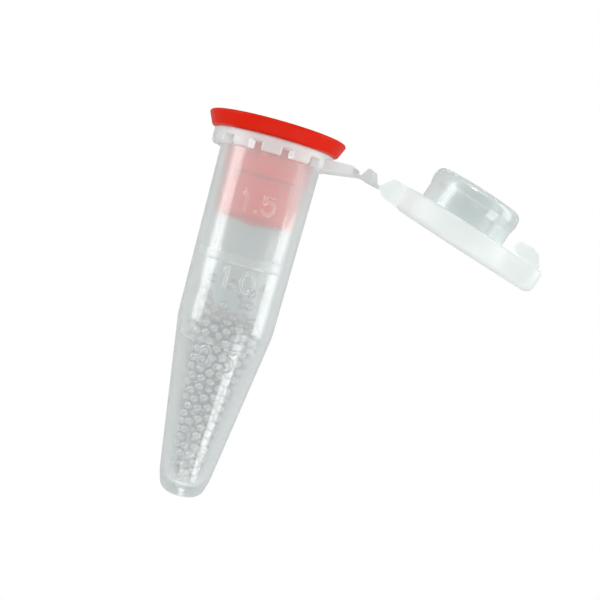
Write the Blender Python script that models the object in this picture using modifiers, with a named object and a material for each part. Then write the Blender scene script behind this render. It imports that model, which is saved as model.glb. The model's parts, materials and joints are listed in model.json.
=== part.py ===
"""A 1.5 mL snap-lid microcentrifuge tube, lid open, with a flanged stopper in its mouth and beads in its cone.

Metres, +Z up along the tube's axis. The origin is on the axis, in the plane where the collar rests on a rack.
The lid hangs from its strap on the +X side.
"""

import math
import random

import bmesh
import bpy
from mathutils import Matrix, Vector

MM = 0.001
TURN_STEPS = 48
ARC_STEPS = 4
EMBED = 0.3 * MM

# Tube body
RIM_TOP = 1.7 * MM
COLLAR_RADIUS = 6.45 * MM
COLLAR_HEIGHT = 0.8 * MM
COLLAR_UNDER = RIM_TOP - COLLAR_HEIGHT
BODY_RADIUS = 5.4 * MM
SHOULDER_RADIUS = 5.15 * MM
SHOULDER_Z = -18.2 * MM
TIP_RADIUS = 2.75 * MM
TIP_Z = -34.8 * MM
BOTTOM_Z = -37.15 * MM
BORE_RADIUS = 4.75 * MM
BORE_SHOULDER_RADIUS = 4.4 * MM
BORE_TIP_RADIUS = 1.8 * MM
BORE_TIP_Z = -34.2 * MM
BORE_BOTTOM_Z = -35.55 * MM
SHOULDER_ROUND = 8.0 * MM

# Gussets under the collar
GUSSETS = 12
GUSSET_WIDTH = 2.1 * MM
GUSSET_SETBACK = 0.05 * MM
GUSSET_SLOPE = 0.35 * MM
FIRST_GUSSET = math.radians(15)

# Strap: a stub on the collar, a link, and the lid's own stub, joined by two thin films
STRAP_WIDTH = 3.6 * MM
STUB_TOP = 1.18 * MM
STUB_END = 9.3 * MM
STUB_END_BOTTOM = 0.33 * MM
STUB_BODY_BOTTOM = -0.15 * MM
FILM_1 = Vector((9.8, 0.0, 0.4)) * MM
FILM_2 = Vector((12.05, 0.0, -0.12)) * MM
FILM_HALF_LENGTH = 0.3 * MM
FILM_THICKNESS = 0.26 * MM
LINK_THICKNESS = 0.4 * MM
LINK_TAPER = 0.2 * MM
BUMP_FOOT = (0.42 * MM, 1.7 * MM)
BUMP_RIDGE = (0.78 * MM, 1.08 * MM)
BUMP_HEIGHT = 1.2 * MM
BUMP_FALL = 0.1 * MM

# Lid, in its own frame: x from film 2 to the thumb tab, z towards the side that closes the tube
LID_DROOP = math.radians(18.0)
LID_CENTRE = 9.0 * MM
LID_RADIUS = 6.5 * MM
LID_INNER_FACE = 1.56 * MM
LID_OUTER_FACE = -0.93 * MM
LID_BEVEL = 0.45 * MM
LID_FLOOR = 1.15 * MM
STUB_FULL_AT = 1.2 * MM
STUB_INSIDE_LID = LID_CENTRE - LID_RADIUS + 1.1 * MM
TAB_LENGTH = 3.1 * MM
TAB_WIDTH = 6.2 * MM
TAB_ROUND = 1.6 * MM
TAB_OUTER_ROUND = 1.1 * MM
CUT_TILT = 0.1 * MM
PLUG_RADIUS = 4.72 * MM
PLUG_BULGE_RADIUS = 4.9 * MM
PLUG_HEIGHT = 3.6 * MM
PLUG_BULGE_BELOW_END = 1.2 * MM
PLUG_BORE_RADIUS = 3.95 * MM
LIP_START = LID_CENTRE + LID_RADIUS - 0.55 * MM
LIP_LENGTH = 2.95 * MM
LIP_HEIGHT = 1.45 * MM
LIP_WIDTH = 5.0 * MM
LIP_NOTCH_DEPTH = 0.7 * MM
LIP_ROUND = 0.08 * MM

# Stopper
SEAT_GAP = 0.05 * MM
FLANGE_TOP_RADIUS = 7.5 * MM
FLANGE_BOTTOM_RADIUS = 6.8 * MM
FLANGE_THICKNESS = 1.55 * MM
SEAL_RADIUS = 4.64 * MM
SEAL_LENGTH = 3.9 * MM
STOPPER_RADIUS = 4.2 * MM
STOPPER_LENGTH = 9.2 * MM
STOPPER_BORE_RADIUS = 3.45 * MM
STOPPER_FLOOR = 0.9 * MM

# Beads
BEAD_RADIUS = 0.5 * MM
BEAD_GAP = 0.03 * MM
BED_GAP = 0.15 * MM
BED_TOP = -18.2 * MM
BED_CROWN = 0.5 * MM
LOOSE_ON_BED = 14
LOOSE_ON_WALL = 20
WALL_BEADS_TOP = -13.4 * MM


def clear_scene():
    for obj in list(bpy.data.objects):
        bpy.data.objects.remove(obj, do_unlink=True)


def new_collection(name):
    made = bpy.data.collections.new(name)
    bpy.context.scene.collection.children.link(made)
    return made


def plastic(name, colour, roughness, transmission=0.0):
    made = bpy.data.materials.new(name)
    made.use_nodes = True
    shader = made.node_tree.nodes["Principled BSDF"]
    shader.inputs["Base Color"].default_value = (*colour, 1.0)
    shader.inputs["Roughness"].default_value = roughness
    shader.inputs["Metallic"].default_value = 0.0
    shader.inputs["Transmission Weight"].default_value = transmission
    return made


def rounded(corners):
    """Points along an open line of corners (x, z) or (x, z, radius): each radius becomes an arc."""
    places = [Vector(corner[:2]) for corner in corners]
    points = []
    for index, corner in enumerate(corners):
        here = places[index]
        if len(corner) == 2:
            points.append(here)
            continue
        back = (places[index - 1] - here).normalized()
        ahead = (places[index + 1] - here).normalized()
        half = back.angle(ahead) / 2
        centre = here + (back + ahead).normalized() * (corner[2] / math.sin(half))
        start = here + back * (corner[2] / math.tan(half)) - centre
        end = here + ahead * (corner[2] / math.tan(half)) - centre
        sweep = math.pi - 2 * half
        for step in range(ARC_STEPS + 1):
            share = step / ARC_STEPS
            along = start * math.sin((1 - share) * sweep) + end * math.sin(share * sweep)
            points.append(centre + along / math.sin(sweep))
    return points


def add_object(name, mesh, group, material):
    made = bpy.data.objects.new(name, mesh)
    group.objects.link(made)
    if material:
        mesh.materials.append(material)
    return made


def turned(name, corners, group, material=None):
    """A solid of revolution about Z. Its profile ends on the axis and runs down the outer side."""
    points = rounded(corners)
    mesh = bpy.data.meshes.new(name)
    edges = [(index, index + 1) for index in range(len(points) - 1)]
    mesh.from_pydata([(x, 0.0, z) for x, z in points], edges, [])
    made = add_object(name, mesh, group, material)
    screw = made.modifiers.new("Turn", "SCREW")
    screw.steps = TURN_STEPS
    screw.render_steps = TURN_STEPS
    screw.use_merge_vertices = True
    screw.merge_threshold = 1e-6
    screw.use_smooth_shade = True
    return made


def plate(name, outline, thickness, group, material=None):
    """A flat solid in the XY plane, centred on it, from a closed outline of (x, y) points."""
    curve = bpy.data.curves.new(name, "CURVE")
    curve.dimensions = "2D"
    curve.fill_mode = "BOTH"
    curve.extrude = thickness / 2
    spline = curve.splines.new("POLY")
    spline.points.add(len(outline) - 1)
    for point, (x, y) in zip(spline.points, outline):
        point.co = (x, y, 0.0, 1.0)
    spline.use_cyclic_u = True
    guide = bpy.data.objects.new(name + "_outline", curve)
    group.objects.link(guide)
    bpy.context.view_layer.update()
    evaluated = guide.evaluated_get(bpy.context.evaluated_depsgraph_get())
    mesh = bpy.data.meshes.new_from_object(evaluated)
    bpy.data.objects.remove(guide, do_unlink=True)
    shape = bmesh.new()
    shape.from_mesh(mesh)
    bmesh.ops.remove_doubles(shape, verts=shape.verts, dist=1e-7)
    bmesh.ops.recalc_face_normals(shape, faces=shape.faces)
    shape.to_mesh(mesh)
    shape.free()
    mesh.name = name
    mesh.materials.clear()
    return add_object(name, mesh, group, material)


def bar(name, section, width, group, material=None):
    """A solid of one section (x, z), of this width along Y."""
    made = plate(name, section, width, group, material)
    made.data.transform(Matrix.Rotation(math.radians(90), 4, "X"))
    return made


def joint_empty(name, place, group, droop=0.0, parent=None):
    made = bpy.data.objects.new(name, None)
    group.objects.link(made)
    made.empty_display_size = 2 * MM
    made.location = place
    made.rotation_euler = (0.0, droop, 0.0)
    made.parent = parent
    return made


def helper(tool, target, operation):
    """Joins a helper solid to the target, or cuts it away, and hides the helper."""
    tool.hide_render = True
    tool.display_type = "WIRE"
    boolean = target.modifiers.new(tool.name, "BOOLEAN")
    boolean.operation = operation
    boolean.solver = "EXACT"
    boolean.object = tool


def round_edges(target, width, segments=2):
    bevel = target.modifiers.new("Round", "BEVEL")
    bevel.width = width
    bevel.segments = segments
    bevel.limit_method = "ANGLE"
    bevel.angle_limit = math.radians(40)


def bore_radius(z):
    """The inner radius of the tube at a height below the mouth."""
    if z > SHOULDER_Z:
        share = (RIM_TOP - z) / (RIM_TOP - SHOULDER_Z)
        return BORE_RADIUS + share * (BORE_SHOULDER_RADIUS - BORE_RADIUS)
    share = (SHOULDER_Z - z) / (SHOULDER_Z - BORE_TIP_Z)
    return BORE_SHOULDER_RADIUS + share * (BORE_TIP_RADIUS - BORE_SHOULDER_RADIUS)


def gussets(group):
    """Blocks between the collar's underside and the body, all round it, that rest on a rack."""
    inner = BODY_RADIUS - EMBED
    outer = COLLAR_RADIUS - GUSSET_SETBACK
    section = [
        (inner, 0.0),
        (outer - GUSSET_SLOPE, 0.0),
        (outer, GUSSET_SLOPE),
        (outer, COLLAR_UNDER + EMBED),
        (inner, COLLAR_UNDER + EMBED),
    ]
    block = bar("gusset_block", section, GUSSET_WIDTH, group)
    ring = bmesh.new()
    for index in range(GUSSETS):
        angle = FIRST_GUSSET + index * math.tau / GUSSETS
        before = len(ring.verts)
        ring.from_mesh(block.data)
        ring.verts.ensure_lookup_table()
        bmesh.ops.rotate(ring, verts=ring.verts[before:], matrix=Matrix.Rotation(angle, 3, "Z"))
    mesh = bpy.data.meshes.new("collar_gussets")
    ring.to_mesh(mesh)
    ring.free()
    bpy.data.objects.remove(block, do_unlink=True)
    return add_object("collar_gussets", mesh, group, None)


def make_tube_body(parts, helpers, material):
    corners = [
        (0.0, BORE_BOTTOM_Z),
        (1.15 * MM, BORE_BOTTOM_Z, 0.9 * MM),
        (BORE_TIP_RADIUS, BORE_TIP_Z),
        (BORE_SHOULDER_RADIUS, SHOULDER_Z, SHOULDER_ROUND),
        (BORE_RADIUS, RIM_TOP - 0.35 * MM),
        (BORE_RADIUS + 0.15 * MM, RIM_TOP),
        (COLLAR_RADIUS, RIM_TOP, 0.15 * MM),
        (COLLAR_RADIUS, COLLAR_UNDER, 0.1 * MM),
        (BODY_RADIUS, COLLAR_UNDER, 0.1 * MM),
        (SHOULDER_RADIUS, SHOULDER_Z, SHOULDER_ROUND),
        (TIP_RADIUS, TIP_Z, 0.5 * MM),
        (TIP_RADIUS - 0.55 * MM, BOTTOM_Z + 0.4 * MM, 1.4 * MM),
        (0.0, BOTTOM_Z),
    ]
    body = turned("tube_body", corners, parts, material)
    section = [
        (BODY_RADIUS - EMBED, STUB_TOP),
        (STUB_END - 0.15 * MM, STUB_TOP),
        (STUB_END, STUB_TOP - 0.15 * MM),
        (STUB_END, STUB_END_BOTTOM),
        (BODY_RADIUS - EMBED, STUB_BODY_BOTTOM),
    ]
    stub = bar("strap_stub", section, STRAP_WIDTH, helpers)
    helper(gussets(helpers), body, "UNION")
    helper(stub, body, "UNION")
    return body


def make_hinge_link(parts, pivot, material):
    """The link's section runs from film 1 to film 2, with its bump on the side that folds inwards."""
    film = FILM_THICKNESS / 2
    half = LINK_THICKNESS / 2
    start = FILM_HALF_LENGTH
    end = (FILM_2 - FILM_1).length - FILM_HALF_LENGTH
    section = [
        (start, -film),
        (start + LINK_TAPER, -half),
        (end - LINK_TAPER, -half),
        (end, -film),
        (end, film),
        (BUMP_FOOT[1], half),
        (BUMP_RIDGE[1], BUMP_HEIGHT),
        (BUMP_RIDGE[0], BUMP_HEIGHT - BUMP_FALL),
        (BUMP_FOOT[0], half),
        (start, film),
    ]
    link = bar("hinge_link", section, STRAP_WIDTH, parts, material)
    link.parent = pivot
    return link


def lid_outline():
    """Disc and thumb tab, from the strap side round the +Y half and back round the -Y half."""
    tab_half = TAB_WIDTH / 2
    last = math.asin(tab_half / LID_RADIUS)
    steps = round(TURN_STEPS * (math.pi - last) / math.tau)
    half = []
    for step in range(steps + 1):
        angle = math.pi + (last - math.pi) * step / steps
        half.append((LID_CENTRE + LID_RADIUS * math.cos(angle), LID_RADIUS * math.sin(angle)))
    tip = LID_CENTRE + LID_RADIUS + TAB_LENGTH
    for step in range(ARC_STEPS + 1):
        angle = math.pi / 2 * (1 - step / ARC_STEPS)
        half.append((tip - TAB_ROUND * (1 - math.cos(angle)), tab_half - TAB_ROUND * (1 - math.sin(angle))))
    return half + [(x, -y) for x, y in reversed(half[1:])]


def bevel_outer_face(obj, width):
    """Chamfers the edges round the face that looks down in the lid's own frame."""
    shape = bmesh.new()
    shape.from_mesh(obj.data)
    lowest = min(vert.co.z for vert in shape.verts)
    low = [e for e in shape.edges if all(abs(v.co.z - lowest) < 1e-7 for v in e.verts)]
    border = [e for e in low if any(abs(f.normal.z) < 0.5 for f in e.link_faces)]
    bmesh.ops.bevel(shape, geom=border, offset=width, segments=2, profile=0.5, affect="EDGES")
    shape.to_mesh(obj.data)
    shape.free()


def lid_stub_section():
    """The lid's end of the strap, which rises from film 2 to the lid's plate."""
    plate_top = LID_INNER_FACE - 0.05 * MM
    return [
        (FILM_HALF_LENGTH, -FILM_THICKNESS / 2),
        (STUB_FULL_AT, LID_OUTER_FACE + 0.2 * MM),
        (STUB_INSIDE_LID, LID_OUTER_FACE + 0.1 * MM),
        (STUB_INSIDE_LID, plate_top),
        (STUB_FULL_AT + 0.2 * MM, plate_top),
        (STUB_FULL_AT - 0.3 * MM, plate_top - 0.25 * MM),
        (FILM_HALF_LENGTH, FILM_THICKNESS / 2),
    ]


def plug_corners():
    """The sealing plug: a ring with a bulge round it, a little below its end."""
    end = LID_INNER_FACE + PLUG_HEIGHT
    bulge_z = end - PLUG_BULGE_BELOW_END
    return [
        (0.0, end),
        (PLUG_RADIUS, end, 0.75 * MM),
        (PLUG_BULGE_RADIUS, bulge_z, 0.6 * MM),
        (PLUG_RADIUS, bulge_z - 0.9 * MM, 0.6 * MM),
        (PLUG_RADIUS, LID_INNER_FACE - EMBED),
        (0.0, LID_INNER_FACE - EMBED),
    ]


def plug_bore_corners():
    end = LID_INNER_FACE + PLUG_HEIGHT
    floor_z = LID_OUTER_FACE + LID_FLOOR
    return [
        (0.0, end + EMBED),
        (PLUG_BORE_RADIUS + 0.3 * MM, end + EMBED),
        (PLUG_BORE_RADIUS, end - 0.6 * MM),
        (PLUG_BORE_RADIUS, floor_z, 0.4 * MM),
        (0.0, floor_z),
    ]


def lip_section():
    """The catch on the tab: it curls back over a notch, towards the plug."""
    base = LID_INNER_FACE - EMBED
    top = LID_INNER_FACE + LIP_HEIGHT
    corners = [
        (LIP_START + LIP_NOTCH_DEPTH, base),
        (LIP_START + LIP_NOTCH_DEPTH, LID_INNER_FACE + 0.25 * MM, 0.2 * MM),
        (LIP_START, LID_INNER_FACE + 0.5 * MM, 0.15 * MM),
        (LIP_START, top, 0.7 * MM),
        (LIP_START + LIP_LENGTH, top, 1.3 * MM),
        (LIP_START + LIP_LENGTH, base),
    ]
    return rounded(corners)


def tab_round_section():
    """What is cut from the tab's outer edge, to leave it rounded from the outer face to the tip."""
    tip = LID_CENTRE + LID_RADIUS + TAB_LENGTH
    reach = 2 * TAB_OUTER_ROUND
    corners = [
        (tip - reach, LID_OUTER_FACE - CUT_TILT),
        (tip, LID_OUTER_FACE, TAB_OUTER_ROUND),
        (tip + CUT_TILT, LID_OUTER_FACE + reach),
        (tip + EMBED, LID_OUTER_FACE + reach),
        (tip + EMBED, LID_OUTER_FACE - EMBED),
        (tip - reach, LID_OUTER_FACE - EMBED),
    ]
    return rounded(corners)


def make_lid(parts, helpers, pivot, material):
    thickness = LID_INNER_FACE - LID_OUTER_FACE
    middle = (LID_INNER_FACE + LID_OUTER_FACE) / 2
    lid = plate("lid", lid_outline(), thickness, parts, material)
    lid.data.transform(Matrix.Translation((0.0, 0.0, middle)))
    bevel_outer_face(lid, LID_BEVEL)
    lid.parent = pivot
    stub = bar("lid_stub", lid_stub_section(), STRAP_WIDTH, helpers)
    plug = turned("lid_plug", plug_corners(), helpers)
    bore = turned("lid_plug_bore", plug_bore_corners(), helpers)
    plug.location.x = LID_CENTRE
    bore.location.x = LID_CENTRE
    lip = bar("tab_lip", lip_section(), LIP_WIDTH, helpers)
    round_edges(lip, LIP_ROUND)
    tab_round = bar("tab_round", tab_round_section(), TAB_WIDTH + 2 * EMBED, helpers)
    for tool in (stub, plug, bore, lip, tab_round):
        tool.parent = pivot
    helper(tab_round, lid, "DIFFERENCE")
    helper(stub, lid, "UNION")
    helper(plug, lid, "UNION")
    helper(lip, lid, "UNION")
    helper(bore, lid, "DIFFERENCE")
    return lid


def make_stopper(parts, material):
    """Its origin is on the axis, in the plane of the flange's underside."""
    bottom = SEAT_GAP - STOPPER_LENGTH
    corners = [
        (0.0, bottom + STOPPER_FLOOR),
        (STOPPER_BORE_RADIUS, bottom + STOPPER_FLOOR + 0.3 * MM, 0.5 * MM),
        (STOPPER_BORE_RADIUS + 0.15 * MM, FLANGE_THICKNESS, 0.2 * MM),
        (FLANGE_TOP_RADIUS, FLANGE_THICKNESS, 0.2 * MM),
        (FLANGE_BOTTOM_RADIUS, 0.0, 0.2 * MM),
        (SEAL_RADIUS, 0.0),
        (SEAL_RADIUS, -SEAL_LENGTH, 0.15 * MM),
        (STOPPER_RADIUS, -SEAL_LENGTH - 0.3 * MM, 0.2 * MM),
        (STOPPER_RADIUS - 0.05 * MM, bottom + 0.5 * MM, 0.8 * MM),
        (0.0, bottom),
    ]
    stopper = turned("stopper", corners, parts, material)
    stopper.location.z = RIM_TOP + SEAT_GAP
    return stopper


def make_bead_bed(parts, material):
    """The outer shape of the packed heap, a little inside the cone."""
    tip_z = BORE_BOTTOM_Z + 2 * BED_GAP
    corners = [
        (0.0, BED_TOP + BED_CROWN),
        (bore_radius(BED_TOP) - BED_GAP - 0.2 * MM, BED_TOP),
        (BORE_TIP_RADIUS - BED_GAP, BORE_TIP_Z),
        (0.8 * MM, tip_z),
        (0.0, tip_z),
    ]
    return turned("bead_bed", corners, parts, material)


def bead_places():
    """Centres of the loose beads: first those that lie on the heap, then those that cling to the wall."""
    chance = random.Random(7)
    places = []

    def clear(place):
        return all((place - other).length > 2 * BEAD_RADIUS + BEAD_GAP for other in places)

    while len(places) < LOOSE_ON_BED:
        z = BED_TOP + BED_CROWN + BEAD_RADIUS + BEAD_GAP
        reach = (bore_radius(z) - BEAD_RADIUS - BEAD_GAP) * math.sqrt(chance.random())
        angle = chance.random() * math.tau
        place = Vector((reach * math.cos(angle), reach * math.sin(angle), z))
        if clear(place):
            places.append(place)
    lowest = BED_TOP + BED_CROWN + 3.3 * BEAD_RADIUS
    while len(places) < LOOSE_ON_BED + LOOSE_ON_WALL:
        z = lowest + (WALL_BEADS_TOP - lowest) * chance.random() ** 1.6
        angle = chance.random() * math.tau
        reach = bore_radius(z) * math.cos(math.pi / TURN_STEPS) - BEAD_RADIUS - BEAD_GAP
        place = Vector((reach * math.cos(angle), reach * math.sin(angle), z))
        if clear(place):
            places.append(place)
    return places


def make_beads(parts, material):
    ball = bmesh.new()
    bmesh.ops.create_icosphere(ball, subdivisions=2, radius=BEAD_RADIUS)
    mesh = bpy.data.meshes.new("bead")
    ball.to_mesh(mesh)
    ball.free()
    mesh.shade_smooth()
    mesh.materials.append(material)
    for number, place in enumerate(bead_places(), 1):
        bead = bpy.data.objects.new(f"bead_{number:02d}", mesh)
        bead.location = place
        parts.objects.link(bead)


def main():
    clear_scene()
    parts = new_collection("microcentrifuge_tube")
    helpers = new_collection("helpers")
    clear_plastic = plastic("translucent_polypropylene", (0.78, 0.84, 0.83), 0.25, 0.7)
    red_plastic = plastic("red_polyethylene", (0.72, 0.02, 0.01), 0.35)
    bead_glass = plastic("bead_glass", (0.85, 0.87, 0.87), 0.1, 0.8)
    link_pivot = joint_empty("strap_hinge_axis", FILM_1, parts)
    link_pivot.rotation_euler.y = -math.atan2(FILM_2.z - FILM_1.z, FILM_2.x - FILM_1.x)
    lid_pivot = joint_empty("lid_hinge_axis", FILM_2, parts, LID_DROOP)
    make_tube_body(parts, helpers, clear_plastic)
    make_hinge_link(parts, link_pivot, clear_plastic)
    make_lid(parts, helpers, lid_pivot, clear_plastic)
    make_stopper(parts, red_plastic)
    make_bead_bed(parts, bead_glass)
    make_beads(parts, bead_glass)


main()
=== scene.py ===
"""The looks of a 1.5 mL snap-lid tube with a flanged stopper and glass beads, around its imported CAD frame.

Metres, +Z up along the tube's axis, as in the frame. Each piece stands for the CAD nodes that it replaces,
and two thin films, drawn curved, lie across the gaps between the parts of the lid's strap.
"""

import json
import math
import random

import bmesh
import bpy
from mathutils import Matrix, Vector
from mathutils.kdtree import KDTree


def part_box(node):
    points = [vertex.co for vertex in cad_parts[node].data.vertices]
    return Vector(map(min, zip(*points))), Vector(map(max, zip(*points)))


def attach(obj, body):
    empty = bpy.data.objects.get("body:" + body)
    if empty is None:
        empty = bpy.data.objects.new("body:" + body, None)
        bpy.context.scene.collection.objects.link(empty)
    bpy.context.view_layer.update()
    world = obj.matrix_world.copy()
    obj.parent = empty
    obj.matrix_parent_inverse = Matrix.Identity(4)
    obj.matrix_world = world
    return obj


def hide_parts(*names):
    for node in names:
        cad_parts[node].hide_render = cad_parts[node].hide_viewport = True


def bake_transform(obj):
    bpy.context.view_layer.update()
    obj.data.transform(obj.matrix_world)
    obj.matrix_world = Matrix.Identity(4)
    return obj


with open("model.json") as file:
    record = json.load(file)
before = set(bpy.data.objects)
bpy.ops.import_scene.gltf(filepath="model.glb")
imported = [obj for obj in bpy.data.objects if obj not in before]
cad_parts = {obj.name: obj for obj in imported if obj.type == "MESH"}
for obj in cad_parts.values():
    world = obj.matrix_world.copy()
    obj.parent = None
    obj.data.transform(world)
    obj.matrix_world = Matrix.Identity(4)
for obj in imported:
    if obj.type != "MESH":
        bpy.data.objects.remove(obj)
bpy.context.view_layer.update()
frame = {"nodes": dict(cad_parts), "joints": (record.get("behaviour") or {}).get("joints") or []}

MM = 0.001
EMBED = 0.3 * MM
ARC_STEPS = 8
LONGEST_ROW = 1.3

# The camera: where it looks from, in degrees and metres
VIEW_AZIMUTH = math.radians(12.73)
VIEW_ELEVATION = math.radians(2.48)
VIEW_ROLL = math.radians(15.34)
VIEW_DISTANCE = 112.5 * MM
VIEW_CENTRE_ASIDE = 6.95 * MM
VIEW_CENTRE_Z = -13.6 * MM
LENS = 63.72

# How bright the white room is as light and through the plastic, and in gloss. The camera sees it at 1
ROOM_LIGHT = 0.38
ROOM_IN_GLOSS = 0.57

# The lamps: azimuth and elevation in degrees, distance, width and height in metres, and radiance
LAMPS = {
    "left_strip": (-57, 14, 0.22, (0.11, 0.21), 2.4),
    "right_strip": (98, 14, 0.22, (0.11, 0.21), 2.4),
    "low_right_strip": (60, -28, 0.22, (0.09, 0.09), 2.7),
    "front_top": (12, 46, 0.3, (0.06, 0.06), 22.0),
    "front_low": (12, -52, 0.3, (0.25, 0.25), 1.3),
}

# The floor
FLOOR_RADIUS = 0.42
FLOOR_TOP = -0.25
FLOOR_THICKNESS = 0.002
FLOOR_SHADE = 0.94
FLOOR_GLOW = 0.22

# What the frame says
TUBE_LOW, TUBE_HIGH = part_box("tube_body")
STOPPER_LOW, STOPPER_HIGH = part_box("stopper")
HINGES = {joint["name"]: Vector(joint["pos_m"]) for joint in frame["joints"] if joint["type"] == "hinge"}
FILM_1 = HINGES["strap_hinge"]
FILM_2 = HINGES["lid_hinge"]

TUBE_MIDDLE_Z = (TUBE_LOW.z + TUBE_HIGH.z) / 2

# Tube body
RIM_TOP = TUBE_HIGH.z
BOTTOM_Z = TUBE_LOW.z
COLLAR_RADIUS = -TUBE_LOW.x
COLLAR_UNDER = RIM_TOP - 0.8 * MM
BODY_RADIUS = 5.4 * MM
SHOULDER_RADIUS = 5.15 * MM
SHOULDER_Z = -18.2 * MM
TIP_RADIUS = 2.75 * MM
TIP_Z = -34.8 * MM
BORE_RADIUS = 4.75 * MM
BORE_SHOULDER_RADIUS = 4.4 * MM
BORE_TIP_RADIUS = 1.8 * MM
BORE_TIP_Z = -34.2 * MM
BORE_BOTTOM_Z = -35.55 * MM
SHOULDER_ROUND = 8.0 * MM
BORE_BOTTOM_RADIUS = 1.15 * MM
BORE_BOTTOM_ROUND = 0.9 * MM
MOUTH_FLARE = 0.15 * MM
MOUTH_FLARE_DEPTH = 0.35 * MM
RIM_ROUND = 0.2 * MM
COLLAR_ROUND = 0.15 * MM
TIP_ROUND = 0.5 * MM
BOTTOM_INSET = 0.55 * MM
BOTTOM_CROWN = 0.4 * MM
BOTTOM_ROUND = 1.4 * MM
GUSSETS = 12
GUSSET_WIDTH = 2.1 * MM
GUSSET_SETBACK = 0.05 * MM
GUSSET_SLOPE = 0.35 * MM
GUSSET_ROUND = 0.25 * MM
FIRST_GUSSET = math.radians(15)
THICK_OUTSIDE = BODY_RADIUS + 0.05 * MM

# Raised marks on the tube's front
RAISED = 0.1 * MM
MARK_EDGE = 0.12 * MM
MARKS_TOP = COLLAR_UNDER - 1 * MM
OUTSIDE_BORE = 0.3 * MM
MARKS_FACE = math.radians(-73)
BAND_WIDTH = 0.9 * MM
BAND_CENTRE = math.radians(-81)
BAND_HALF = math.radians(55)
BANDS_BELOW_RIM = (12.8 * MM, 21.4 * MM)
NUMERALS = {"1.5": 6.7 * MM, "1.0": 14.8 * MM, "0.5": 23.2 * MM}
DIGIT_HEIGHT = 2.0 * MM
DIGIT_WIDTH = 1.3 * MM
DIGIT_REACH = DIGIT_HEIGHT * 0.7
DIGIT_PLACES = (-1.3 * MM, -0.15 * MM, 1.0 * MM)
NUMERAL_REACH = 2.4 * MM
STROKE = 0.32 * MM
FINE_TURN = math.radians(0.9)
COARSE_TURN = math.radians(3)
NUMERALS_HALF = math.radians(28)
FINE_ROW = 0.1 * MM
COARSE_ROW = 0.7 * MM

# Strap
STRAP_WIDTH = 3.6 * MM
STUB_TOP = 1.18 * MM
STUB_END = TUBE_HIGH.x
STUB_END_BOTTOM = 0.33 * MM
STUB_BODY_BOTTOM = -0.15 * MM
STUB_CHAMFER = 0.15 * MM
STUB_ROUND = 0.1 * MM
FILM_HALF_LENGTH = 0.3 * MM
FILM_THICKNESS = 0.26 * MM
FILM_INSET = 0.05 * MM
FILM_ON_STUB = FILM_THICKNESS * 0.6
FILM_STEPS = 10
LINK_THICKNESS = 0.4 * MM
LINK_TAPER = 0.2 * MM
BUMP_FOOT = (0.42 * MM, 1.7 * MM)
BUMP_RIDGE = (0.78 * MM, 1.08 * MM)
BUMP_HEIGHT = 1.2 * MM
BUMP_FALL = 0.1 * MM
BUMP_ROUND = 0.15 * MM
BUMP_LOW_ROUND = 0.12 * MM
BUMP_FOOT_ROUND = 0.08 * MM

# Lid, in its own frame: x from film 2 to the thumb tab, z towards the side that closes the tube
LID_DROOP = math.radians(18.0)
LID_CENTRE = 9.0 * MM
LID_RADIUS = 6.5 * MM
LID_INNER_FACE = 1.56 * MM
LID_OUTER_FACE = -0.93 * MM
LID_OUTER_ROUND = 0.6 * MM
LID_INNER_ROUND = 0.3 * MM
LID_FLOOR = 1.15 * MM
DISC_STEPS = 56
STUB_FULL_AT = 1.2 * MM
STUB_LEAN = 0.05 * MM
STUB_INSET_AT_BEND = 0.2 * MM
STUB_INSET_IN_LID = 0.1 * MM
STUB_OUTER_ROUND = 0.6 * MM
STUB_INNER_ROUND = 0.5 * MM
STUB_INSIDE_LID = LID_CENTRE - LID_RADIUS + 1.1 * MM
TAB_LENGTH = 3.1 * MM
TAB_WIDTH = 6.2 * MM
TAB_ROUND = 1.6 * MM
TAB_FILLET = 1.2 * MM
TAB_OUTER_ROUND = 1.1 * MM
CUT_TILT = 0.1 * MM
PLUG_RADIUS = 4.72 * MM
PLUG_BULGE_RADIUS = 4.9 * MM
PLUG_HEIGHT = 3.6 * MM
PLUG_BULGE_BELOW_END = 1.2 * MM
PLUG_WAIST_BELOW_BULGE = 0.9 * MM
PLUG_END_ROUND = 0.75 * MM
PLUG_BULGE_ROUND = 0.6 * MM
PLUG_BORE_RADIUS = 3.95 * MM
PLUG_BORE_FLARE = 0.3 * MM
PLUG_BORE_FLARE_DEPTH = 0.6 * MM
PLUG_BORE_FLARE_ROUND = 0.5 * MM
PLUG_BORE_MOUTH_ROUND = 0.2 * MM
PLUG_BORE_FLOOR_ROUND = 0.4 * MM
PLUG_CUT_FLARE = 0.5 * MM
PLUG_STEPS = 128
PLUG_CLEAR_ABOVE = LID_INNER_FACE + 0.26 * MM
LIP_START = LID_CENTRE + LID_RADIUS - 0.55 * MM
LIP_LENGTH = 2.95 * MM
LIP_HEIGHT = 1.45 * MM
LIP_WIDTH = 5.0 * MM
LIP_NOTCH_DEPTH = 0.7 * MM
LIP_ROUND = 0.08 * MM
LIP_NOTCH_HEIGHT = 0.25 * MM
LIP_NOTCH_ROUND = 0.2 * MM
LIP_NOSE_HEIGHT = 0.5 * MM
LIP_NOSE_ROUND = 0.15 * MM
LIP_CURL_ROUND = 0.7 * MM
LIP_BACK_ROUND = 1.3 * MM

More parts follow.
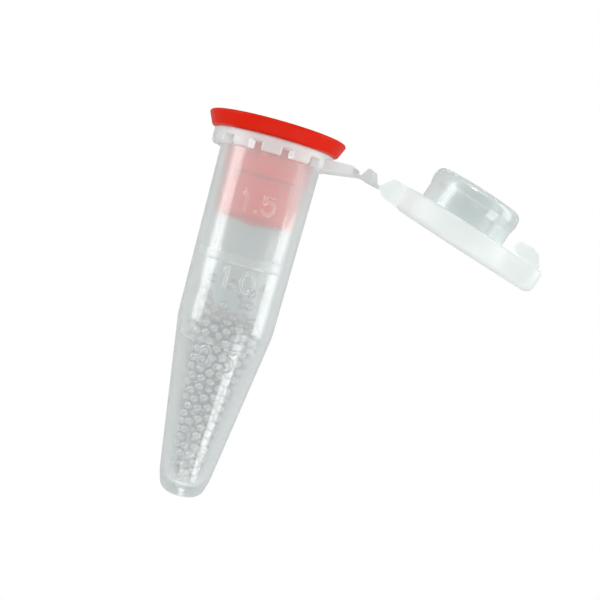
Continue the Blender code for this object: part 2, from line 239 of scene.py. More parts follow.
# Stopper
FLANGE_TOP = STOPPER_HIGH.z
FLANGE_UNDER = FLANGE_TOP - 1.55 * MM
FLANGE_TOP_RADIUS = 7.5 * MM
FLANGE_BOTTOM_RADIUS = 6.8 * MM
SEAL_RADIUS = 4.64 * MM
SEAL_LENGTH = 3.9 * MM
STOPPER_RADIUS = 4.2 * MM
STOPPER_BORE_RADIUS = 3.45 * MM
STOPPER_FLOOR = 0.9 * MM
STOPPER_FLOOR_RISE = 0.3 * MM
STOPPER_FLOOR_ROUND = 0.5 * MM
STOPPER_BORE_FLARE = 0.15 * MM
STOPPER_BORE_ROUND = 0.2 * MM
FLANGE_ROUND = 0.25 * MM
SEAL_ROUND = 0.15 * MM
SEAL_STEP = 0.3 * MM
SEAL_STEP_ROUND = 0.2 * MM
STOPPER_TAPER = 0.05 * MM
STOPPER_CROWN = 0.5 * MM
STOPPER_END_ROUND = 0.8 * MM
STOPPER_STEPS = 144

# Beads, and how the heap settles: in each round they fall, less and less, and push each other apart
BEAD_RADIUS = 0.5 * MM
BEAD_DRAWN = 0.985
BEADS_IN_HEAP = 630
BEAD_SUBDIVISIONS = 2
BEAD_SEED = 3
BEAD_TO_WALL = 0.05 * MM
TIP_NARROWING = 0.6
START_HEIGHT = 1.1
START_BIAS = 0.62
FALL = 0.04 * MM
FALL_FADES = 1.3
PUSH_APART = 0.42
SETTLE_ROUNDS = 160

# Materials
BLOTCH_SCALE = 180.0
BLOTCH_TINT = 0.93
ROUGHNESS_SPREAD = 0.25
GRAIN_DEPTH = 0.05 * MM
PLASTIC_GRAIN = 1500.0


# --- mesh helpers --------------------------------------------------------------------------------------

def add_object(name, mesh, material=None):
    made = bpy.data.objects.new(name, mesh)
    bpy.context.scene.collection.objects.link(made)
    if material:
        mesh.materials.clear()
        mesh.materials.append(material)
    return made


def mesh_of(name, shape):
    """The finished mesh of a bmesh, with its faces pointing out."""
    bmesh.ops.recalc_face_normals(shape, faces=shape.faces)
    mesh = bpy.data.meshes.new(name)
    shape.to_mesh(mesh)
    shape.free()
    return mesh


def smooth(piece, degrees=35):
    piece.data.shade_smooth()
    piece.data.set_sharp_from_angle(angle=math.radians(degrees))


def rounded(corners):
    """Points along an open line of corners (x, z) or (x, z, radius): each radius becomes an arc."""
    places = [Vector(corner[:2]) for corner in corners]
    points = []
    for index, corner in enumerate(corners):
        here = places[index]
        if len(corner) == 2:
            points.append(here)
            continue
        back = (places[index - 1] - here).normalized()
        ahead = (places[index + 1] - here).normalized()
        half = back.angle(ahead) / 2
        centre = here + (back + ahead).normalized() * (corner[2] / math.sin(half))
        start = here + back * (corner[2] / math.tan(half)) - centre
        end = here + ahead * (corner[2] / math.tan(half)) - centre
        sweep = math.pi - 2 * half
        for step in range(ARC_STEPS + 1):
            share = step / ARC_STEPS
            along = start * math.sin((1 - share) * sweep) + end * math.sin(share * sweep)
            points.append(centre + along / math.sin(sweep))
    return points


def divided(points, row_at):
    """The same line with extra points, so that no step at a height z is much longer than row_at(z)."""
    made = [points[0]]
    for there in points[1:]:
        while (there - made[-1]).length > LONGEST_ROW * row_at(made[-1].y):
            step = row_at(made[-1].y)
            made.append(made[-1] + (there - made[-1]).normalized() * step)
        made.append(there)
    return made


def lathe(name, points, angles, raised=None):
    """A solid of revolution about Z of points (radius, z) that start and end on the axis."""
    shape = bmesh.new()
    rings = []
    for radius, z in points[1:-1]:
        ring = []
        for angle in angles:
            reach = radius + (raised(radius, z, angle) if raised else 0.0)
            ring.append(shape.verts.new((reach * math.cos(angle), reach * math.sin(angle), z)))
        rings.append(ring)
    for ring, following in zip(rings, rings[1:]):
        for index in range(len(angles)):
            after = (index + 1) % len(angles)
            shape.faces.new((ring[index], ring[after], following[after], following[index]))
    for ring, end in ((rings[0], points[0]), (rings[-1], points[-1])):
        pole = shape.verts.new((0.0, 0.0, end.y))
        for index in range(len(angles)):
            shape.faces.new((ring[index], ring[(index + 1) % len(angles)], pole))
    return mesh_of(name, shape)


def even_turn(steps):
    return [math.tau * step / steps for step in range(steps)]


def prism(name, outline, low, high):
    """A solid with this closed outline of (x, y) points, from z low to z high."""
    shape = bmesh.new()
    below = [shape.verts.new((x, y, low)) for x, y in outline]
    above = [shape.verts.new((x, y, high)) for x, y in outline]
    shape.faces.new(below)
    shape.faces.new(above)
    for index in range(len(outline)):
        after = (index + 1) % len(outline)
        shape.faces.new((below[index], below[after], above[after], above[index]))
    return mesh_of(name, shape)


def bar(name, section, width):
    """A solid of one section (x, z), of this width along Y."""
    mesh = prism(name, section, -width / 2, width / 2)
    mesh.transform(Matrix.Rotation(math.radians(90), 4, "X"))
    return mesh


def round_rim(mesh, z, radius, segments=4):
    """Rounds the edges round the flat face at height z."""
    shape = bmesh.new()
    shape.from_mesh(mesh)
    level = [e for e in shape.edges if all(abs(v.co.z - z) < 1e-6 for v in e.verts)]
    rim = [e for e in level if any(abs(f.normal.z) < 0.5 for f in e.link_faces)]
    bmesh.ops.bevel(shape, geom=rim, offset=radius, segments=segments, profile=0.5, affect="EDGES")
    shape.to_mesh(mesh)
    shape.free()


def round_edges(mesh, radius, degrees=40, segments=3):
    """Rounds every edge that turns by more than this."""
    shape = bmesh.new()
    shape.from_mesh(mesh)
    sharp = [e for e in shape.edges if e.calc_face_angle(0.0) > math.radians(degrees)]
    bmesh.ops.bevel(shape, geom=sharp, offset=radius, segments=segments, profile=0.5, affect="EDGES")
    shape.to_mesh(mesh)
    shape.free()


def combine(target, mesh, operation):
    """Joins a solid to the target piece, or cuts it away."""
    tool = add_object("tool", mesh)
    change = target.modifiers.new("Combine", "BOOLEAN")
    change.operation = operation
    change.solver = "EXACT"
    change.object = tool
    bpy.context.view_layer.update()
    evaluated = target.evaluated_get(bpy.context.evaluated_depsgraph_get())
    result = bpy.data.meshes.new_from_object(evaluated)
    target.modifiers.clear()
    target.data = result
    bpy.data.objects.remove(tool, do_unlink=True)


# --- raised marks --------------------------------------------------------------------------------------

def arc(centre, radii, start, end, steps=12):
    turns = [math.radians(start + (end - start) * step / steps) for step in range(steps + 1)]
    return [(centre[0] + radii[0] * math.cos(t), centre[1] + radii[1] * math.sin(t)) for t in turns]


def glyph(character):
    """Strokes of one plain character, in a box from (-1, -1) to (1, 1)."""
    if character == "0":
        return [arc((0, 0), (1, 1), 0, 360, 20)]
    if character == "1":
        return [[(-0.5, 0.55), (0.1, 1.0), (0.1, -1.0)]]
    if character == "5":
        return [[(0.85, 1.0), (-0.7, 1.0), (-0.8, 0.1)] + arc((0, -0.35), (0.95, 0.65), 140, -150)]
    return [[(0.0, -0.95), (0.05, -0.95)]]


def numeral_strokes(text):
    """Straight strokes (start, end) of a numeral such as 1.0, in metres about its own centre."""
    strokes = []
    for place, character in zip(DIGIT_PLACES, text):
        for line in glyph(character):
            points = [Vector((place + x * DIGIT_WIDTH / 2, y * DIGIT_HEIGHT / 2)) for x, y in line]
            strokes.extend(zip(points, points[1:]))
    return strokes


def distance_to(point, stroke):
    start, end = stroke
    along = end - start
    share = max(0.0, min(1.0, (point - start).dot(along) / along.length_squared))
    return (point - start - along * share).length


def step_up(distance, half_width):
    """How much of the raised height a mark has at a distance from its middle line."""
    share = max(0.0, min(1.0, (half_width - distance) / MARK_EDGE + 0.5))
    return share * share * (3 - 2 * share)


STROKES = {RIM_TOP - below: numeral_strokes(text) for text, below in NUMERALS.items()}


def raised_mark(radius, z, angle):
    """The height of the graduation bands and numerals above the tube's outer surface."""
    if radius < bore_radius(z) + OUTSIDE_BORE or z > MARKS_TOP:
        return 0.0
    height = 0.0
    from_band = abs((angle - BAND_CENTRE + math.pi) % math.tau - math.pi)
    for below in BANDS_BELOW_RIM:
        across = step_up(abs(z - RIM_TOP + below), BAND_WIDTH / 2)
        height = max(height, across * step_up((from_band - BAND_HALF) * radius, 0.0))
    aside = ((angle - MARKS_FACE + math.pi) % math.tau - math.pi) * radius
    for middle, strokes in STROKES.items():
        if abs(z - middle) < DIGIT_REACH and abs(aside) < NUMERAL_REACH:
            nearest = min(distance_to(Vector((aside, z - middle)), stroke) for stroke in strokes)
            height = max(height, step_up(nearest, STROKE / 2))
    return height * RAISED


def mark_row(z):
    """The distance between two rows of the tube's surface at a height."""
    for below in BANDS_BELOW_RIM:
        if abs(z - RIM_TOP + below) < BAND_WIDTH:
            return FINE_ROW
    for middle in STROKES:
        if abs(z - middle) < DIGIT_REACH:
            return FINE_ROW
    return COARSE_ROW


def tube_angles():
    """Angles round the tube, close together where the numerals are."""
    angles = []
    angle = MARKS_FACE - NUMERALS_HALF
    end = angle + math.tau
    while angle < end - FINE_TURN / 2:
        angles.append(angle)
        angle += FINE_TURN if angle < MARKS_FACE + NUMERALS_HALF else COARSE_TURN
    return angles


# --- pieces --------------------------------------------------------------------------------------------

def bore_radius(z):
    """The inner radius of the tube at a height."""
    if z > SHOULDER_Z:
        share = (RIM_TOP - z) / (RIM_TOP - SHOULDER_Z)
        return BORE_RADIUS + share * (BORE_SHOULDER_RADIUS - BORE_RADIUS)
    share = (SHOULDER_Z - z) / (SHOULDER_Z - BORE_TIP_Z)
    return BORE_SHOULDER_RADIUS + share * (BORE_TIP_RADIUS - BORE_SHOULDER_RADIUS)


def gusset():
    inner = BODY_RADIUS - EMBED
    outer = COLLAR_RADIUS - GUSSET_SETBACK
    corners = [
        (inner, 0.0),
        (outer, 0.0, GUSSET_SLOPE),
        (outer, COLLAR_UNDER + EMBED),
        (inner, COLLAR_UNDER + EMBED),
    ]
    mesh = bar("gusset", rounded(corners), GUSSET_WIDTH)
    round_edges(mesh, GUSSET_ROUND, degrees=60)
    return mesh


def paint_tube(tube, frosted, thick):
    """Gives the raised marks a frosted skin, and the collar and strap the look of thicker plastic."""
    tube.data.materials.append(frosted)
    tube.data.materials.append(thick)
    for face in tube.data.polygons:
        x, y, z = face.center
        if z > STUB_BODY_BOTTOM and math.hypot(x, y) > THICK_OUTSIDE:
            face.material_index = 2
        elif raised_mark(math.hypot(x, y), z, math.atan2(y, x)) > RAISED / 2:
            face.material_index = 1


def make_tube(material, frosted, thick):
    corners = [
        (0.0, BORE_BOTTOM_Z),
        (BORE_BOTTOM_RADIUS, BORE_BOTTOM_Z, BORE_BOTTOM_ROUND),
        (BORE_TIP_RADIUS, BORE_TIP_Z),
        (BORE_SHOULDER_RADIUS, SHOULDER_Z, SHOULDER_ROUND),
        (BORE_RADIUS, RIM_TOP - MOUTH_FLARE_DEPTH),
        (BORE_RADIUS + MOUTH_FLARE, RIM_TOP),
        (COLLAR_RADIUS, RIM_TOP, RIM_ROUND),
        (COLLAR_RADIUS, COLLAR_UNDER, COLLAR_ROUND),
        (BODY_RADIUS, COLLAR_UNDER, COLLAR_ROUND),
        (SHOULDER_RADIUS, SHOULDER_Z, SHOULDER_ROUND),
        (TIP_RADIUS, TIP_Z, TIP_ROUND),
        (TIP_RADIUS - BOTTOM_INSET, BOTTOM_Z + BOTTOM_CROWN, BOTTOM_ROUND),
        (0.0, BOTTOM_Z),
    ]
    profile = divided(rounded(corners), mark_row)
    tube = add_object("tube_shell", lathe("tube_shell", profile, tube_angles(), raised_mark), material)
    ring = bmesh.new()
    block = gusset()
    for index in range(GUSSETS):
        before = len(ring.verts)
        ring.from_mesh(block)
        ring.verts.ensure_lookup_table()
        turn = Matrix.Rotation(FIRST_GUSSET + index * math.tau / GUSSETS, 3, "Z")
        bmesh.ops.rotate(ring, verts=ring.verts[before:], matrix=turn)
    combine(tube, mesh_of("gussets", ring), "UNION")
    section = [
        (BODY_RADIUS - EMBED, STUB_TOP),
        (STUB_END - STUB_CHAMFER, STUB_TOP),
        (STUB_END, STUB_TOP - STUB_CHAMFER),
        (STUB_END, STUB_END_BOTTOM),
        (BODY_RADIUS - EMBED, STUB_BODY_BOTTOM),
    ]
    stub = bar("stub", section, STRAP_WIDTH)
    round_edges(stub, STUB_ROUND)
    combine(tube, stub, "UNION")
    smooth(tube)
    paint_tube(tube, frosted, thick)
    # The lamps light the beads, and show in their gloss, as if through a clear wall
    tube.visible_shadow = False
    tube.visible_glossy = False
    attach(tube, "tube")
    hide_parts("tube_body")


def strap_frame():
    """Where the link lies: x from film 1 to film 2, z up."""
    along = FILM_2 - FILM_1
    return Matrix.Translation(FILM_1) @ Matrix.Rotation(-math.atan2(along.z, along.x), 4, "Y")


def lid_frame():
    return Matrix.Translation(FILM_2) @ Matrix.Rotation(LID_DROOP, 4, "Y")


def make_link(material):
    film = FILM_THICKNESS / 2
    half = LINK_THICKNESS / 2
    start = FILM_HALF_LENGTH
    end = (FILM_2 - FILM_1).length - FILM_HALF_LENGTH
    corners = [
        (start, 0.0),
        (start, -film),
        (start + LINK_TAPER, -half),
        (end - LINK_TAPER, -half),
        (end, -film),
        (end, film),
        (BUMP_FOOT[1], half, BUMP_ROUND),
        (BUMP_RIDGE[1], BUMP_HEIGHT, BUMP_ROUND),
        (BUMP_RIDGE[0], BUMP_HEIGHT - BUMP_FALL, BUMP_LOW_ROUND),
        (BUMP_FOOT[0], half, BUMP_FOOT_ROUND),
        (start, film),
    ]
    mesh = bar("strap_link_shell", rounded(corners), STRAP_WIDTH)
    mesh.transform(strap_frame())
    link = add_object("strap_link_shell", mesh, material)
    smooth(link)
    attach(link, "strap_link")
    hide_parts("hinge_link")


def make_film(name, line, material):
    """A thin strip across a hinge, along a line of points in the XZ plane."""
    shape = bmesh.new()
    rows = []
    for index, point in enumerate(line):
        along = (line[min(index + 1, len(line) - 1)] - line[max(index - 1, 0)]).normalized()
        up = Vector((-along.z, 0.0, along.x)) * FILM_THICKNESS / 2
        aside = Vector((0.0, STRAP_WIDTH / 2 - FILM_INSET, 0.0))
        corners = (point + up + aside, point + up - aside, point - up - aside, point - up + aside)
        rows.append([shape.verts.new(corner) for corner in corners])
    for row, following in zip(rows, rows[1:]):
        for index in range(4):
            after = (index + 1) % 4
            shape.faces.new((row[index], row[after], following[after], following[index]))
    shape.faces.new(rows[0])
    shape.faces.new(rows[-1])
    film = add_object(name, mesh_of(name, shape), material)
    smooth(film)
    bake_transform(film)


def make_films(material):
    link = strap_frame()
    lid = lid_frame()
    gap = FILM_HALF_LENGTH
    length = (FILM_2 - FILM_1).length
    stub_end = Vector((STUB_END, 0.0, STUB_END_BOTTOM + FILM_ON_STUB))
    link_start = link @ Vector((gap, 0, 0))
    link_end = link @ Vector((length - gap, 0, 0))
    lid_start = lid @ Vector((gap, 0, 0))
    films = (
        ("hinge_film_1", stub_end, FILM_1, link_start, ("tube", "strap_link")),
        ("hinge_film_2", link_end, FILM_2, lid_start, ("strap_link", "lid")),
    )
    for name, start, middle, end, bodies in films:
        line = []
        for step in range(FILM_STEPS + 1):
            t = step / FILM_STEPS
            line.append(start * (1 - t) ** 2 + middle * (2 * t * (1 - t)) + end * t ** 2)
        make_film(name, line, material)


def lid_outline():
    """Disc and thumb tab, from the strap side round the +Y half and back round the -Y half."""
    tab_half = TAB_WIDTH / 2
    reach = LID_RADIUS + TAB_FILLET
    fillet_x = math.sqrt(reach ** 2 - (tab_half + TAB_FILLET) ** 2)
    last = math.asin((tab_half + TAB_FILLET) / reach)
    half = []
    for step in range(DISC_STEPS + 1):
        angle = math.pi + (last - math.pi) * step / DISC_STEPS
        half.append((LID_CENTRE + LID_RADIUS * math.cos(angle), LID_RADIUS * math.sin(angle)))
    for step in range(1, ARC_STEPS + 1):
        angle = math.pi + last + (math.pi / 2 - last) * step / ARC_STEPS
        x = LID_CENTRE + fillet_x + TAB_FILLET * math.cos(angle)
        half.append((x, tab_half + TAB_FILLET * (1 + math.sin(angle))))
    tip = LID_CENTRE + LID_RADIUS + TAB_LENGTH
    for step in range(ARC_STEPS + 1):
        angle = math.pi / 2 * (1 - step / ARC_STEPS)
        half.append((tip - TAB_ROUND * (1 - math.cos(angle)), tab_half - TAB_ROUND * (1 - math.sin(angle))))
    return half + [(x, -y) for x, y in reversed(half[1:])]


def lid_stub_section():
    """The lid's end of the strap, which rises from film 2 to the lid's plate."""
    plate_top = LID_INNER_FACE - STUB_LEAN
    corners = [
        (FILM_HALF_LENGTH, -FILM_THICKNESS / 2),
        (STUB_FULL_AT, LID_OUTER_FACE + STUB_INSET_AT_BEND, STUB_OUTER_ROUND),
        (STUB_INSIDE_LID, LID_OUTER_FACE + STUB_INSET_IN_LID),
        (STUB_INSIDE_LID, plate_top),
        (STUB_FULL_AT + STUB_LEAN, plate_top, STUB_INNER_ROUND),
        (FILM_HALF_LENGTH, FILM_THICKNESS / 2),
    ]
    return rounded(corners)


def lid_plug():
    end = LID_INNER_FACE + PLUG_HEIGHT
    bulge = end - PLUG_BULGE_BELOW_END
    corners = [
        (0.0, end),
        (PLUG_RADIUS, end, PLUG_END_ROUND),
        (PLUG_BULGE_RADIUS, bulge, PLUG_BULGE_ROUND),
        (PLUG_RADIUS, bulge - PLUG_WAIST_BELOW_BULGE, PLUG_BULGE_ROUND),
        (PLUG_RADIUS, LID_INNER_FACE - EMBED),
        (0.0, LID_INNER_FACE - EMBED),
    ]
    return lathe("lid_plug", rounded(corners), even_turn(PLUG_STEPS))


def lid_bore():
    end = LID_INNER_FACE + PLUG_HEIGHT
    floor_z = LID_OUTER_FACE + LID_FLOOR
    corners = [
        (0.0, end + EMBED),
        (PLUG_BORE_RADIUS + PLUG_CUT_FLARE, end + EMBED),
        (PLUG_BORE_RADIUS + PLUG_BORE_FLARE, end, PLUG_BORE_MOUTH_ROUND),
        (PLUG_BORE_RADIUS, end - PLUG_BORE_FLARE_DEPTH, PLUG_BORE_FLARE_ROUND),
        (PLUG_BORE_RADIUS, floor_z, PLUG_BORE_FLOOR_ROUND),
        (0.0, floor_z),
    ]
    return lathe("lid_bore", rounded(corners), even_turn(PLUG_STEPS))


def lip_section():
    """The catch on the tab: it curls back over a notch, towards the plug."""
    base = LID_INNER_FACE - EMBED
    top = LID_INNER_FACE + LIP_HEIGHT
    corners = [
        (LIP_START + LIP_NOTCH_DEPTH, base),
        (LIP_START + LIP_NOTCH_DEPTH, LID_INNER_FACE + LIP_NOTCH_HEIGHT, LIP_NOTCH_ROUND),
        (LIP_START, LID_INNER_FACE + LIP_NOSE_HEIGHT, LIP_NOSE_ROUND),
        (LIP_START, top, LIP_CURL_ROUND),
        (LIP_START + LIP_LENGTH, top, LIP_BACK_ROUND),
        (LIP_START + LIP_LENGTH, base),
    ]
    return rounded(corners)


def tab_round_section():
    """What is cut from the tab's outer edge, to leave it rounded from the outer face to the tip."""
    tip = LID_CENTRE + LID_RADIUS + TAB_LENGTH
    reach = 2 * TAB_OUTER_ROUND
    corners = [
        (tip - reach, LID_OUTER_FACE - CUT_TILT),
        (tip, LID_OUTER_FACE, TAB_OUTER_ROUND),
        (tip + CUT_TILT, LID_OUTER_FACE + reach),
        (tip + EMBED, LID_OUTER_FACE + reach),
        (tip + EMBED, LID_OUTER_FACE - EMBED),
        (tip - reach, LID_OUTER_FACE - EMBED),
    ]
    return rounded(corners)


def make_lid(material, thin):
    """The lid, with the wall of its plug in a clearer plastic than its plate. It casts no shadow."""
    mesh = prism("lid_shell", lid_outline(), LID_OUTER_FACE, LID_INNER_FACE)
    round_rim(mesh, LID_OUTER_FACE, LID_OUTER_ROUND)
    round_rim(mesh, LID_INNER_FACE, LID_INNER_ROUND)
    lid = add_object("lid_shell", mesh, material)
    combine(lid, bar("tab_round", tab_round_section(), TAB_WIDTH + 2 * EMBED), "DIFFERENCE")
    combine(lid, bar("lid_stub", lid_stub_section(), STRAP_WIDTH), "UNION")
    plug = lid_plug()
    bore = lid_bore()
    for turned in (plug, bore):
        turned.transform(Matrix.Translation((LID_CENTRE, 0.0, 0.0)))
    catch = bar("catch", lip_section(), LIP_WIDTH)
    round_edges(catch, LIP_ROUND, degrees=60)
    combine(lid, catch, "UNION")
    combine(lid, plug, "UNION")
    combine(lid, bore, "DIFFERENCE")
    lid.data.materials.append(thin)
    for face in lid.data.polygons:
        x, y, z = face.center
        if z > PLUG_CLEAR_ABOVE and math.hypot(x - LID_CENTRE, y) < PLUG_BULGE_RADIUS:
            face.material_index = 1
    lid.data.transform(lid_frame())
    lid.visible_shadow = False
    smooth(lid)
    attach(lid, "lid")
    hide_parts("lid")


def make_stopper(material):
    bottom = STOPPER_LOW.z
    seal_end = FLANGE_UNDER - SEAL_LENGTH
    corners = [
        (0.0, bottom + STOPPER_FLOOR),
        (STOPPER_BORE_RADIUS, bottom + STOPPER_FLOOR + STOPPER_FLOOR_RISE, STOPPER_FLOOR_ROUND),
        (STOPPER_BORE_RADIUS + STOPPER_BORE_FLARE, FLANGE_TOP, STOPPER_BORE_ROUND),
        (FLANGE_TOP_RADIUS, FLANGE_TOP, FLANGE_ROUND),
        (FLANGE_BOTTOM_RADIUS, FLANGE_UNDER, FLANGE_ROUND),
        (SEAL_RADIUS, FLANGE_UNDER),
        (SEAL_RADIUS, seal_end, SEAL_ROUND),
        (STOPPER_RADIUS, seal_end - SEAL_STEP, SEAL_STEP_ROUND),
        (STOPPER_RADIUS - STOPPER_TAPER, bottom + STOPPER_CROWN, STOPPER_END_ROUND),
        (0.0, bottom),
    ]
    mesh = lathe("stopper_shell", rounded(corners), even_turn(STOPPER_STEPS))
    stopper = add_object("stopper_shell", mesh, material)
    smooth(stopper)
    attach(stopper, "stopper")
    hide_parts("stopper")


def ball():
    shape = bmesh.new()
    bmesh.ops.create_icosphere(shape, subdivisions=BEAD_SUBDIVISIONS, radius=BEAD_RADIUS * BEAD_DRAWN)
    mesh = mesh_of("glass_ball", shape)
    mesh.shade_smooth()
    return mesh


def inside_tube(place):
    """The nearest place in which a bead is clear of the tube's wall."""
    lowest = BORE_BOTTOM_Z + BEAD_RADIUS + BEAD_TO_WALL
    place.z = max(place.z, lowest)
    reach = Vector((place.x, place.y)).length
    widest = max(bore_radius(place.z) - BEAD_RADIUS - BEAD_TO_WALL, 0.0)
    if place.z < BORE_TIP_Z:
        widest = min(widest, BORE_TIP_RADIUS - BEAD_RADIUS - (BORE_TIP_Z - place.z) * TIP_NARROWING)
    if reach > widest:
        place.x *= widest / reach
        place.y *= widest / reach
    return place


def settled_beads():
    """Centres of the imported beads: they fall, push each other apart and stay in the cone."""
    chance = random.Random(BEAD_SEED)
    low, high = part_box("bead_bed")
    places = []
    while len(places) < BEADS_IN_HEAP:
        place = Vector((chance.uniform(-1, 1), chance.uniform(-1, 1), 0.0)) * BORE_RADIUS
        place.z = low.z + (high.z - low.z) * START_HEIGHT * chance.random() ** START_BIAS
        if Vector((place.x, place.y)).length < bore_radius(place.z) - BEAD_RADIUS:
            places.append(place)
    for turn in range(SETTLE_ROUNDS):
        tree = KDTree(len(places))
        for index, place in enumerate(places):
            tree.insert(place, index)
        tree.balance()
        fall = FALL * max(0.0, 1 - FALL_FADES * turn / SETTLE_ROUNDS)
        moved = []
        for index, place in enumerate(places):
            push = Vector((0.0, 0.0, -fall))
            for other, number, distance in tree.find_range(place, 2 * BEAD_RADIUS):
                if number != index and distance > 0:
                    push += (place - other) * (PUSH_APART * (2 * BEAD_RADIUS / distance - 1))
            moved.append(inside_tube(place + push))
        places = moved
    return places


def make_heap(material):
    """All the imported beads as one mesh. Like the loose ones, they cast no shadow on each other."""
    one = ball()
    heap = bmesh.new()
    for place in settled_beads():
        before = len(heap.verts)
        heap.from_mesh(one)
        heap.verts.ensure_lookup_table()
        bmesh.ops.translate(heap, verts=heap.verts[before:], vec=place)
    mesh = bpy.data.meshes.new("bead_heap")
    heap.to_mesh(mesh)
    heap.free()
    mesh.shade_smooth()
    made = add_object("bead_heap", mesh, material)
    made.visible_shadow = False
    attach(made, "tube")
    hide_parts("bead_bed")


def make_loose_beads(material):
    one = ball()
    one.materials.append(material)
    for name in sorted(frame["nodes"]):
        if name.startswith("bead_") and name != "bead_bed":
            low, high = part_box(name)
            bead = add_object("glass_" + name, one)
            bead.location = (low + high) / 2
            bead.visible_shadow = False
            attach(bead, "tube")
            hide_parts(name)


# --- materials -----------------------------------------------------------------------------------------

def node(tree, kind, **values):
    made = tree.nodes.new(kind)
    for name, value in values.items():
        if hasattr(made, name):
            setattr(made, name, value)
        else:
            made.inputs[name.replace("_", " ")].default_value = value
    return made


def plastic(name, colour, roughness, grain, bump):
    """A material and its shader: the colour and roughness vary a little, and the skin has a fine grain."""
    made = bpy.data.materials.new(name)
    made.use_nodes = True
    tree = made.node_tree
    shader = tree.nodes["Principled BSDF"]
    place = node(tree, "ShaderNodeTexCoord")
    broad = node(tree, "ShaderNodeTexNoise", Scale=BLOTCH_SCALE, Detail=3.0)
    fine = node(tree, "ShaderNodeTexNoise", Scale=grain, Detail=2.0)
    tree.links.new(place.outputs["Object"], broad.inputs["Vector"])
    tree.links.new(place.outputs["Object"], fine.inputs["Vector"])
    tint = node(tree, "ShaderNodeMix", data_type="RGBA")
    tint.inputs["A"].default_value = (*[c * BLOTCH_TINT for c in colour], 1.0)
    tint.inputs["B"].default_value = (*colour, 1.0)
    tree.links.new(broad.outputs["Fac"], tint.inputs["Factor"])
    tree.links.new(tint.outputs["Result"], shader.inputs["Base Color"])
    spread = node(tree, "ShaderNodeMapRange")
    spread.inputs["To Min"].default_value = roughness * (1 - ROUGHNESS_SPREAD)
    spread.inputs["To Max"].default_value = roughness * (1 + ROUGHNESS_SPREAD)
    tree.links.new(fine.outputs["Fac"], spread.inputs["Value"])
    tree.links.new(spread.outputs["Result"], shader.inputs["Roughness"])
    relief = node(tree, "ShaderNodeBump", Strength=bump, Distance=GRAIN_DEPTH)
    tree.links.new(fine.outputs["Fac"], relief.inputs["Height"])
    tree.links.new(relief.outputs["Normal"], shader.inputs["Normal"])
    return made, shader


def polypropylene(name, colour, clear, edge_clear, gloss, roughness):
    """Milky see-through plastic: less clear where the wall is seen along its length."""
    made, shader = plastic(name, colour, roughness, grain=PLASTIC_GRAIN, bump=0.1)
    shader.inputs["IOR"].default_value = 1.49
    shader.inputs["Coat Weight"].default_value = gloss
    shader.inputs["Coat IOR"].default_value = 1.6
    shader.inputs["Coat Roughness"].default_value = roughness
    tree = made.node_tree
    facing = node(tree, "ShaderNodeLayerWeight", Blend=0.5)
    haze = node(tree, "ShaderNodeMapRange")
    haze.inputs["To Min"].default_value = clear
    haze.inputs["To Max"].default_value = edge_clear
    tree.links.new(facing.outputs["Facing"], haze.inputs["Value"])
    tree.links.new(haze.outputs["Result"], shader.inputs["Transmission Weight"])
    return made


def stopper_plastic():
    red = (0.78, 0.014, 0.001)
    made, shader = plastic("red_stopper_plastic", red, roughness=0.4, grain=900.0, bump=0.15)
    shader.inputs["Specular IOR Level"].default_value = 0.12
    return made


def bead_glass():
    """Grey glass with a strong gloss, so that each bead shows the lamps as bright points."""
    grey = (0.262, 0.228, 0.236)
    made, shader = plastic("bead_glass", grey, roughness=0.35, grain=700.0, bump=0.03)
    shader.inputs["IOR"].default_value = 1.52
    shader.inputs["Transmission Weight"].default_value = 0.1
    shader.inputs["Coat Weight"].default_value = 1.0
    shader.inputs["Coat IOR"].default_value = 3.6
    shader.inputs["Coat Roughness"].default_value = 0.15
    return made


# --- camera, light and floor ---------------------------------------------------------------------------

def view_axes():
    """The directions to the camera's right, up and forwards, before it rolls."""
    right = Vector((math.cos(VIEW_AZIMUTH), math.sin(VIEW_AZIMUTH), 0.0))
    forwards = Vector((-right.y, right.x, 0.0)) * math.cos(VIEW_ELEVATION)
    forwards.z = -math.sin(VIEW_ELEVATION)
    return right, right.cross(forwards), forwards


def make_camera():
    right, up, forwards = view_axes()
    centre = right * VIEW_CENTRE_ASIDE + Vector((0.0, 0.0, VIEW_CENTRE_Z))
    across = right * math.cos(VIEW_ROLL) + up * math.sin(VIEW_ROLL)
    upwards = up * math.cos(VIEW_ROLL) - right * math.sin(VIEW_ROLL)
    camera = bpy.data.objects.new("camera", bpy.data.cameras.new("camera"))
    camera.data.lens = LENS
    camera.data.clip_start = 1 * MM
    camera.matrix_world = Matrix.Translation(centre - forwards * VIEW_DISTANCE) @ Matrix(
        (across, upwards, -forwards)
    ).transposed().to_4x4()
    bpy.context.scene.collection.objects.link(camera)
    bpy.context.scene.camera = camera


def softbox(name, azimuth, elevation, distance, size, radiance):
    """A soft light aimed at the middle of the tube. Azimuth is counted as for a view."""
    middle = Vector((0.0, 0.0, TUBE_MIDDLE_Z))
    a = math.radians(azimuth)
    e = math.radians(elevation)
    away = Vector((math.sin(a) * math.cos(e), -math.cos(a) * math.cos(e), math.sin(e)))
    light = bpy.data.lights.new(name, "AREA")
    light.shape = "RECTANGLE"
    light.size, light.size_y = size
    light.energy = radiance * math.pi * size[0] * size[1]
    made = bpy.data.objects.new(name, light)
    made.location = middle + away * distance
    made.rotation_euler = away.to_track_quat("Z", "Y").to_euler()
    bpy.context.scene.collection.objects.link(made)


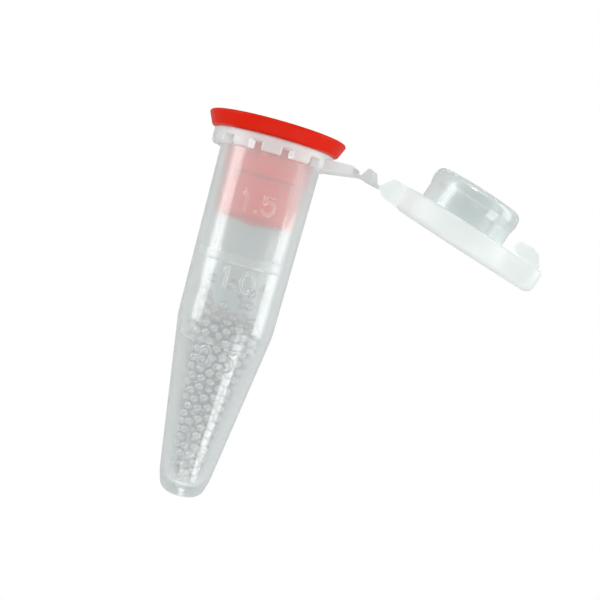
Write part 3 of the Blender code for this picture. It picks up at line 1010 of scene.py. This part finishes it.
def make_world():
    """A white room: full white behind the object, softer in its gloss, dim through it and as light."""
    world = bpy.data.worlds.new("studio")
    world.use_nodes = True
    bpy.context.scene.world = world
    tree = world.node_tree
    room = tree.nodes["Background"]
    room.inputs["Color"].default_value = (1.0, 1.0, 1.0, 1.0)
    path = node(tree, "ShaderNodeLightPath")
    mirrored = node(tree, "ShaderNodeMath", operation="SUBTRACT", use_clamp=True)
    tree.links.new(path.outputs["Is Glossy Ray"], mirrored.inputs[0])
    tree.links.new(path.outputs["Is Transmission Ray"], mirrored.inputs[1])
    gloss = node(tree, "ShaderNodeMath", operation="MULTIPLY_ADD")
    gloss.inputs[1].default_value = ROOM_IN_GLOSS - ROOM_LIGHT
    gloss.inputs[2].default_value = ROOM_LIGHT
    tree.links.new(mirrored.outputs[0], gloss.inputs[0])
    strength = node(tree, "ShaderNodeMath", operation="MAXIMUM")
    tree.links.new(path.outputs["Is Camera Ray"], strength.inputs[0])
    tree.links.new(gloss.outputs[0], strength.inputs[1])
    tree.links.new(strength.outputs[0], room.inputs["Strength"])


def make_floor():
    """A pale round floor, well below the object."""
    edge = [(FLOOR_RADIUS * math.cos(a), FLOOR_RADIUS * math.sin(a)) for a in even_turn(96)]
    mesh = prism("floor", edge, FLOOR_TOP - FLOOR_THICKNESS, FLOOR_TOP)
    floor = add_object("floor", mesh)
    material = bpy.data.materials.new("pale_floor")
    material.use_nodes = True
    shader = material.node_tree.nodes["Principled BSDF"]
    shader.inputs["Base Color"].default_value = (FLOOR_SHADE, FLOOR_SHADE, FLOOR_SHADE, 1.0)
    shader.inputs["Roughness"].default_value = 0.8
    shader.inputs["Emission Color"].default_value = (1.0, 1.0, 1.0, 1.0)
    shader.inputs["Emission Strength"].default_value = FLOOR_GLOW
    mesh.materials.append(material)


make_camera()
make_world()
for lamp, settings in LAMPS.items():
    softbox(lamp, *settings)
make_floor()
bpy.context.scene.view_settings.view_transform = "Standard"

wall_plastic = polypropylene(
    "wall_polypropylene", (0.828, 0.884, 0.876), clear=0.785, edge_clear=0.43, gloss=0.6, roughness=0.13
)
thick_plastic = polypropylene(
    "thick_polypropylene", (0.9, 0.94, 0.93), clear=0.35, edge_clear=0.25, gloss=0.4, roughness=0.4
)
frosted_plastic = polypropylene(
    "frosted_polypropylene", (0.87, 0.91, 0.903), clear=0.725, edge_clear=0.42, gloss=0.4, roughness=0.19
)
glass = bead_glass()
make_tube(wall_plastic, frosted_plastic, thick_plastic)
make_link(thick_plastic)
make_films(thick_plastic)
make_lid(thick_plastic, wall_plastic)
make_stopper(stopper_plastic())
make_heap(glass)
make_loose_beads(glass)
